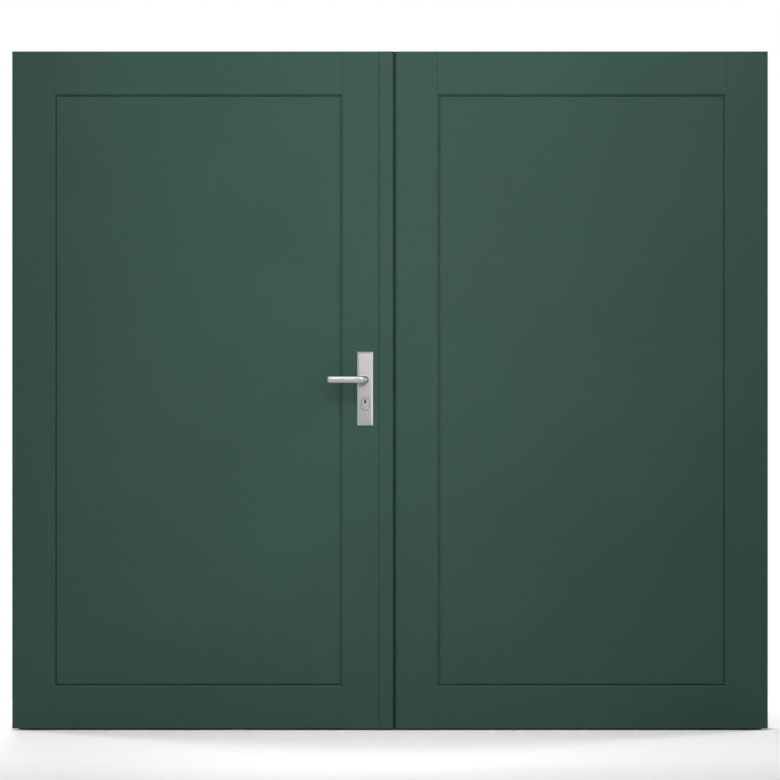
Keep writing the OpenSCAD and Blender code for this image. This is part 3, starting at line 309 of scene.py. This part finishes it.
def finishOf(name):  # which finish a node of the frame takes
    words = name.split("_")
    if "seal" in words:
        return "rubber"
    if "panel" in words:
        return "panel"
    if "stile" in words or "jamb" in words or name == "astragal" or "side" in words:
        return "uprightTimber"
    if "rail" in words or "cross" in words or name == "head":
        return "levelTimber"
    if name in ("outside_plate", "inside_plate"):
        return "plate"
    if "lever" in words or name == "espag_handle":
        return "lever"
    if name == "threshold":
        return "sill"
    if "plug" in words:
        return "plug"
    if "cylinder" in words:
        return "nickel"
    if "rod" in words or "pins" in words or name == "spindle":
        return "bar"
    return "zinc"


for name, node in nodes.items():
    node.data.materials.clear()
    node.data.materials.append(finishes[finishOf(name)])
print("finishes set:", len(finishes))


def newPiece(name, mesh, finish, body, smoothUpTo):  # one finished object on its body
    for face in mesh.faces:
        face.smooth = True
    data = bpy.data.meshes.new(name)
    mesh.to_mesh(data)
    mesh.free()
    data.set_sharp_from_angle(angle=math.radians(smoothUpTo))
    data.materials.append(finishes[finish])
    piece = bpy.data.objects.new(name, data)
    scene.collection.objects.link(piece)
    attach(piece, body)
    return piece


def bridgeRings(mesh, near, far):  # one strip of faces between two equal rings
    count = len(near)
    for i in range(count):
        after = (i + 1) % count
        mesh.faces.new((near[i], near[after], far[after], far[i]))


# The cast levers: a journal in the plate, a flared foot, an oval neck, a bend and an oval grip, in one skin.
leverShape = {
    "journalRadius": 9 * mm,
    "footRadius": 13 * mm,
    "footGap": 0.3 * mm,
    "footRim": 1.0 * mm,
    "footArris": 0.4 * mm,
    "neckAcross": 10.5 * mm,  # half its width
    "neckUp": 12 * mm,  # half its height
    "bendRadius": 14 * mm,
    "blendLength": 22 * mm,
    "gripHeight": 22 * mm,
    "gripThickness": 13 * mm,
    "ovalPower": 2,
    "gripPower": 2.35,  # above 2, an oval is a little squarer
    "tipLength": 9 * mm,
    "tipPower": 2.5,
    "around": 40,
    "filletSteps": 6,
    "bendSteps": 12,
    "tipSteps": 9,
    "smoothUpTo": 40,
}


def bendEndHalf():  # half the thickness where the bend meets the grip
    return (leverShape["neckAcross"] + leverShape["gripThickness"] / 2) / 2


def leverRings(neck, reach, journal):  # (along, out, turn, half across, half up, power) for each ring
    shape = leverShape
    foot, oval = shape["footRadius"], shape["ovalPower"]
    neckAcross, neckUp = shape["neckAcross"], shape["neckUp"]
    halfThick, halfHigh = shape["gripThickness"] / 2, shape["gripHeight"] / 2
    footBase = shape["footGap"]
    rimTop = footBase + shape["footRim"]
    rounds = [(-journal, shape["journalRadius"]), (footBase, shape["journalRadius"]),
              (footBase, foot - shape["footArris"]), (footBase + shape["footArris"], foot)]
    rings = [(0, out, 0, radius, radius, oval) for out, radius in rounds]
    for i in range(shape["filletSteps"] + 1):
        turn = quarterTurn * i / shape["filletSteps"]
        out = rimTop + (foot - neckAcross) * (1 - math.cos(turn))
        rings.append((0, out, 0, foot - (foot - neckAcross) * math.sin(turn),
                      foot - (foot - neckUp) * math.sin(turn), oval))
    bend, steps = shape["bendRadius"], shape["bendSteps"]
    for i in range(2 * steps + 1):  # the bend, then as many rings along the grip while it thins
        share = i / (2 * steps)
        ease = share * share * (3 - 2 * share)
        turn = min(quarterTurn, quarterTurn * i / steps)
        straight = shape["blendLength"] * max(0, i - steps) / steps
        rings.append((bend * (1 - math.cos(turn)) + straight, neck + bend * math.sin(turn), turn,
                      neckAcross + (halfThick - neckAcross) * ease, neckUp + (halfHigh - neckUp) * ease,
                      oval + (shape["gripPower"] - oval) * ease))
    tip = shape["tipLength"]
    for i in range(shape["tipSteps"]):
        share = math.sin(quarterTurn * i / shape["tipSteps"])
        left = (1 - share ** shape["tipPower"]) ** (1 / shape["tipPower"])
        rings.append((reach - tip + tip * share, neck + bend, quarterTurn,
                      halfThick * left, halfHigh * left, shape["gripPower"]))
    return rings


def leverMesh(origin, outward, sideways, neck, reach, journal):
    mesh = bmesh.new()
    around = leverShape["around"]
    rows = []
    for along, out, turn, halfAcross, halfUp, power in leverRings(neck, reach, journal):
        row = []
        for i in range(around):
            angle = 2 * math.pi * i / around
            across = halfAcross * math.copysign(abs(math.cos(angle)) ** (2 / power), math.cos(angle))
            up = halfUp * math.copysign(abs(math.sin(angle)) ** (2 / power), math.sin(angle))
            spot = Vector((sideways * (along + across * math.cos(turn)),
                           outward * (out - across * math.sin(turn)), up))
            row.append(mesh.verts.new(origin + spot))
        rows.append(row)
    for near, far in zip(rows, rows[1:]):
        bridgeRings(mesh, near, far)
    mesh.faces.new(rows[0][::-1])
    mesh.faces.new(rows[-1])
    bmesh.ops.recalc_face_normals(mesh, faces=mesh.faces)
    return mesh


leverPlaces = {
    "outsideLeverCast": {"node": "outside_lever", "body": "lever", "outward": -1, "sideways": -1,
                         "neck": 28 * mm, "reach": 121 * mm, "journal": 8 * mm},
    "insideLeverCast": {"node": "inside_lever", "body": "lever", "outward": 1, "sideways": -1,
                        "neck": 28 * mm, "reach": 121 * mm, "journal": 8 * mm},
    "espagHandleCast": {"node": "espag_handle", "body": "espag_handle", "outward": 1, "sideways": 1,
                        "neck": 16 * mm, "reach": 110 * mm, "journal": 3 * mm},
}
for name, place in leverPlaces.items():
    low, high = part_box(place["node"])
    middle = (low + high) / 2
    endX = high.x - leverShape["footRadius"] if place["sideways"] < 0 else low.x + leverShape["footRadius"]
    front = low.y if place["outward"] < 0 else high.y
    rise = place["neck"] + leverShape["bendRadius"] + bendEndHalf()
    origin = Vector((endX, front - place["outward"] * rise, middle.z))
    mesh = leverMesh(origin, place["outward"], place["sideways"], place["neck"], place["reach"],
                     place["journal"])
    piece = newPiece(name, mesh, "lever", place["body"], leverShape["smoothUpTo"])
    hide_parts(place["node"])
print("levers cast:", len(leverPlaces))


# Countersunk and pan head screws with a cross recess, in groups that share one piece.
screwKinds = {
    "hinge": {"radius": 2.65 * mm, "dome": 0.10 * mm, "sink": 1.6 * mm, "recess": 0.9 * mm},
    "strip": {"radius": 4.0 * mm, "dome": 0.45 * mm, "sink": 0.8 * mm, "recess": 1.2 * mm},
    "case": {"radius": 3.2 * mm, "dome": 1.4 * mm, "sink": 0.4 * mm, "recess": 1.2 * mm},
}
screwHead = {  # shares of a head's radius, dome or recess, the same for every kind
    "armHalf": 0.13,
    "armReach": 0.62,
    "crown": 0.78,
    "rimHeight": 0.2,
    "recessFloor": 0.8,
    "stepDegrees": 15,  # leaves two crown points for each point of the recess
    "turnDegrees": 37,  # each head in a group stops at another angle
    "smoothUpTo": 30,
}


def addScrewHead(mesh, spot, facing, kind, turn):
    shape = screwKinds[kind]
    radius, dome = shape["radius"], shape["dome"]
    stand = Vector((0, 0, 1)).rotation_difference(facing).to_matrix() @ Matrix.Rotation(turn, 3, "Z")

    def ring(points, size, height):
        return [mesh.verts.new(spot + stand @ Vector((size * x * radius, size * y * radius, height)))
                for x, y in points]

    step = screwHead["stepDegrees"]
    circle = [(math.cos(math.radians(a)), math.sin(math.radians(a))) for a in range(-step, 360 - step, step)]
    armReach, armHalf = screwHead["armReach"], screwHead["armHalf"]
    cross = []
    for quarter in range(4):
        spin = Matrix.Rotation(quarterTurn * quarter, 2)
        cross += [spin @ Vector(p) for p in ((armReach, -armHalf), (armReach, armHalf), (armHalf, armHalf))]
    foot = ring(circle, 1, -shape["sink"])
    rim = ring(circle, 1, dome * screwHead["rimHeight"])
    crown = ring(circle, screwHead["crown"], dome)
    mouth = ring(cross, 1, dome)
    floor = ring(cross, screwHead["recessFloor"], dome - shape["recess"])
    for near, far in ((foot, rim), (rim, crown), (mouth, floor)):
        bridgeRings(mesh, near, far)
    for i in range(len(mouth)):
        after = (i + 1) % len(mouth)
        mesh.faces.new((crown[2 * i], crown[2 * i + 1], mouth[i]))
        mesh.faces.new((crown[2 * i + 1], crown[2 * after], mouth[after], mouth[i]))
    mesh.faces.new(floor)
    mesh.faces.new(foot[::-1])


def screwGroup(name, spots, facing, kind, body):
    mesh = bmesh.new()
    for i, spot in enumerate(spots):
        turn = math.radians(screwHead["turnDegrees"] * i)
        addScrewHead(mesh, Vector(spot), Vector(facing), kind, turn)
    bmesh.ops.recalc_face_normals(mesh, faces=mesh.faces)
    newPiece(name, mesh, "zinc", body, screwHead["smoothUpTo"])


hingeScrews = {
    "plateThickness": 2.5 * mm,
    "fromFreeEdge": (26 * mm, 10 * mm),
    "fromMiddle": (36 * mm, 12 * mm),
    "below": 0.15 * mm,
}
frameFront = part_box("head")[0].y
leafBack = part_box("active_top_rail")[1].y
for side, sign in (("active", -1), ("passive", 1)):
    for level in ("low", "mid", "high"):
        for half, face, facing in (("frame", frameFront - hingeScrews["plateThickness"], -1),
                                   ("leaf", leafBack + hingeScrews["plateThickness"], 1)):
            low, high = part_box(f"{side}_{half}_hinge_{level}")
            freeEdge = high.x if sign < 0 else low.x
            y = face - facing * hingeScrews["below"]
            z = (low.z + high.z) / 2
            spots = [(freeEdge + sign * inward, y, z + up * offset)
                     for inward, offset in zip(hingeScrews["fromFreeEdge"], hingeScrews["fromMiddle"])
                     for up in (-1, 1)]
            body = "frame" if half == "frame" else f"{side}_leaf"
            groupName = f"{side}{half.title()}HingeScrews{level.title()}"
            screwGroup(groupName, spots, (0, facing, 0), "hinge", body)

stripScrews = {"fromEnd": 12 * mm}
for name, node, body, facing in (("lockStripScrews", "lock_strip", "active_leaf", 1),
                                 ("strikeScrews", "strike_plate", "passive_leaf", -1)):
    low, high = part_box(node)
    x = high.x if facing > 0 else low.x
    spots = [(x, (low.y + high.y) / 2, z)
             for z in (low.z + stripScrews["fromEnd"], high.z - stripScrews["fromEnd"])]
    screwGroup(name, spots, (facing, 0, 0), "strip", body)

caseScrews = {"in": 9 * mm}
low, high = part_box("espag_case")
spots = [(x, high.y, z) for x in (low.x + caseScrews["in"], high.x - caseScrews["in"])
         for z in (low.z + caseScrews["in"], high.z - caseScrews["in"])]
screwGroup("espagCaseScrews", spots, (0, 1, 0), "case", "passive_leaf")

guideScrews = {"in": 5 * mm, "levels": (176 * mm, 726 * mm, 1386 * mm, 1986 * mm)}
low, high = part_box("rod_guides")
spots = [(x, high.y, z) for x in (low.x + guideScrews["in"], high.x - guideScrews["in"])
         for z in guideScrews["levels"]]
screwGroup("rodGuideScrews", spots, (0, 1, 0), "case", "passive_leaf")

keepScrews = {"in": 6 * mm}
low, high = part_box("head_keep")
spots = [(x, (low.y + high.y) / 2, low.z) for x in (low.x + keepScrews["in"], high.x - keepScrews["in"])]
screwGroup("headKeepScrews", spots, (0, 0, -1), "strip", "frame")
print("screws set")


# Camera: level and square to the leaves, as far off as a long lens stands.
cameraView = {
    "frameWidth": 2477.3 * mm,
    "middleHeight": 1080.7 * mm,
    "lens": 240,
    "sensor": 36,
    "clipEnd": 100,
}
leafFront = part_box("active_top_rail")[0].y
reachBack = cameraView["frameWidth"] * cameraView["lens"] / cameraView["sensor"]
cameraData = bpy.data.cameras.new("camera")
cameraData.lens = cameraView["lens"]
cameraData.sensor_width = cameraView["sensor"]
cameraData.clip_end = cameraView["clipEnd"]
camera = bpy.data.objects.new("camera", cameraData)
camera.location = (0, leafFront - reachBack, cameraView["middleHeight"])
camera.rotation_euler = (quarterTurn, 0, 0)
scene.collection.objects.link(camera)
scene.camera = camera


# Studio: soft boxes round the doors, a dim world that reads white to the eye, and a pale floor.
softBoxes = {  # shine: seen in gloss and metal, wash: lights matt paint, spread: degrees behind a grid
    "upperBox": {"spot": (0.0, -2.4, 3.0), "aim": (0.0, 0, 1.4), "size": (2.6, 1.6),
                 "power": 53, "shine": True, "wash": True},
    "highBox": {"spot": (0.2, -2.0, 3.4), "aim": (0.2, 0, 1.6), "size": (2.6, 0.8),
                "power": 44, "shine": False, "wash": True},
    "glintBox": {"spot": (0.25, -1.7, 1.52), "aim": (-0.08, 0, 1.15), "size": (0.22, 0.22),
                 "power": 6.0, "shine": True, "wash": False},
    "nearBox": {"spot": (0.25, -1.7, 1.52), "aim": (-0.08, 0, 1.15), "size": (1.4, 1.4),
                "power": 6.0, "shine": False, "wash": True},
    "rightBox": {"spot": (6.4, -0.7, 1.4), "aim": (0.0, 0, 1.1), "size": (3.2, 2.4),
                 "power": 115, "shine": True, "wash": False},
    "leftBox": {"spot": (-6.4, -2.8, 1.5), "aim": (0.0, 0, 1.1), "size": (1.6, 2.0),
                "power": 19, "shine": True, "wash": True},
    "lowBox": {"spot": (-0.25, -4.2, 0.9), "aim": (-0.25, 0, 0.72), "size": (0.6, 0.6),
               "power": 4.1, "shine": False, "wash": True, "spread": 47},
    "backBox": {"spot": (-1.0, 3.6, 3.0), "aim": (0.0, 0, 1.0), "size": (1.6, 1.2),
                "power": 150, "shine": True, "wash": True},
    "backRightBox": {"spot": (4.5, 3.0, 1.6), "aim": (0.6, 0, 1.1), "size": (1.6, 2.0),
                     "power": 160, "shine": True, "wash": True},
    "backLeftBox": {"spot": (-4.5, 3.0, 1.6), "aim": (-0.6, 0, 1.1), "size": (1.6, 2.0),
                    "power": 160, "shine": True, "wash": True},
}
openSpread = 180  # degrees, a box without a grid
for name, box in softBoxes.items():
    data = bpy.data.lights.new(name, "AREA")
    data.shape = "RECTANGLE"
    data.size, data.size_y = box["size"]
    data.energy = box["power"]
    data.spread = math.radians(box.get("spread", openSpread))
    light = bpy.data.objects.new(name, data)
    light.location = box["spot"]
    gaze = Vector(box["aim"]) - Vector(box["spot"])
    light.rotation_euler = gaze.to_track_quat("-Z", "Y").to_euler()
    light.visible_camera = False
    light.visible_glossy = box["shine"]
    light.visible_diffuse = box["wash"]
    scene.collection.objects.link(light)

studioWorld = {"tone": "#FFFFFF", "seenStrength": 1.0, "lightStrength": 0.18}
world = bpy.data.worlds.new("studioWorld")
world.use_nodes = True
worldTree = world.node_tree
worldTree.nodes.clear()
worldTone = linear(studioWorld["tone"])
eye = addNode(worldTree, "ShaderNodeLightPath")
seen = addNode(worldTree, "ShaderNodeBackground",
               {"Color": worldTone, "Strength": studioWorld["seenStrength"]})
dim = addNode(worldTree, "ShaderNodeBackground",
              {"Color": worldTone, "Strength": studioWorld["lightStrength"]})
either = addNode(worldTree, "ShaderNodeMixShader", None,
                 {0: eye.outputs["Is Camera Ray"], 1: dim.outputs[0], 2: seen.outputs[0]})
addNode(worldTree, "ShaderNodeOutputWorld", None, {"Surface": either.outputs[0]})
scene.world = world
scene.view_settings.view_transform = "Standard"

# Painted board, rolled matt: an even near white that shows soft shadows and no shine.
studioFloor = {
    "tone": "#FBFBFA",
    "patchMm": 1667,
    "roughLow": 0.85,
    "roughHigh": 0.95,
    "wide": 7.0,
    "back": 1.6,
    "front": 3.4,
    "cells": 4,
}
floorMaterial, floorTree = newMaterial("mattPaintedFloor")
floorPlace = addNode(floorTree, "ShaderNodeTexCoord").outputs["Object"]
floorPatch = addNode(floorTree, "ShaderNodeTexNoise",
                     {"Scale": perMetre(studioFloor["patchMm"]), "Detail": 1.0}, {"Vector": floorPlace})
floorRough = addNode(floorTree, "ShaderNodeMapRange",
                     {"To Min": studioFloor["roughLow"], "To Max": studioFloor["roughHigh"]},
                     {"Value": floorPatch.outputs["Fac"]})
floorSkin = addNode(floorTree, "ShaderNodeBsdfPrincipled", {"Base Color": linear(studioFloor["tone"])},
                    {"Roughness": floorRough.outputs["Result"]})
addNode(floorTree, "ShaderNodeOutputMaterial", None, {"Surface": floorSkin.outputs["BSDF"]})
floorMesh = bmesh.new()
bmesh.ops.create_grid(floorMesh, x_segments=studioFloor["cells"], y_segments=studioFloor["cells"], size=0.5)
floorDepth = studioFloor["front"] + studioFloor["back"]
bmesh.ops.scale(floorMesh, vec=(studioFloor["wide"], floorDepth, 1), verts=floorMesh.verts)
floorData = bpy.data.meshes.new("studioFloor")
floorMesh.to_mesh(floorData)
floorMesh.free()
floorData.materials.append(floorMaterial)
floor = bpy.data.objects.new("studioFloor", floorData)
floor.location = (0, (studioFloor["back"] - studioFloor["front"]) / 2, cadLow.z)
scene.collection.objects.link(floor)
print("studio set")
